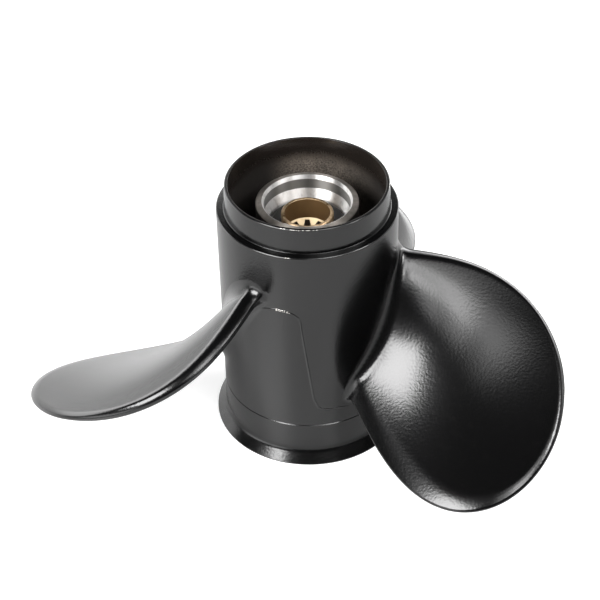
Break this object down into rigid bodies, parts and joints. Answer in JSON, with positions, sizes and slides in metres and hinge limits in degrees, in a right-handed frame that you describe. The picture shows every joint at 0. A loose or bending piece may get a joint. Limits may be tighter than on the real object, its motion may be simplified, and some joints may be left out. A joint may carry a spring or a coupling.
{
  "type": "outboard motor propeller",
  "caption": "Right-hand boat propeller: broad raked blades on a hollow exhaust hub with a flared rear ring, and a splined brass sleeve held in a rubber bushing.",
  "frame": {"origin": "on the shaft axis, in the plane of the flared rear rim that the propeller stands on", "axes": "+Z along the shaft axis, forward to the gearcase; the first blade points 36.7 degrees from +X towards -Y, and the others follow at thirds of a turn"},
  "size_m": [0.2281, 0.2214, 0.1226],
  "materials": {
    "black_paint": "black enamel on cast aluminium, satin to semi-gloss, with a fine orange-peel texture",
    "machined_aluminium": "bare cast aluminium, turned bright at the mouth of the bore",
    "black_rubber": "matt moulded rubber",
    "brass": "sintered brass, turned, brown inside the bore"
  },
  "bodies": {
    "root": {"front_spigot": "black_paint", "hub_barrel": "black_paint", "diffuser_ring": "black_paint", "inner_hub": "machined_aluminium", "rib_1": "black_paint", "rib_2": "black_paint", "rib_3": "black_paint", "blade_1": "black_paint", "blade_2": "black_paint", "blade_3": "black_paint", "rubber_bushing": "black_rubber", "splined_sleeve": "brass"}
  },
  "joints": []
}
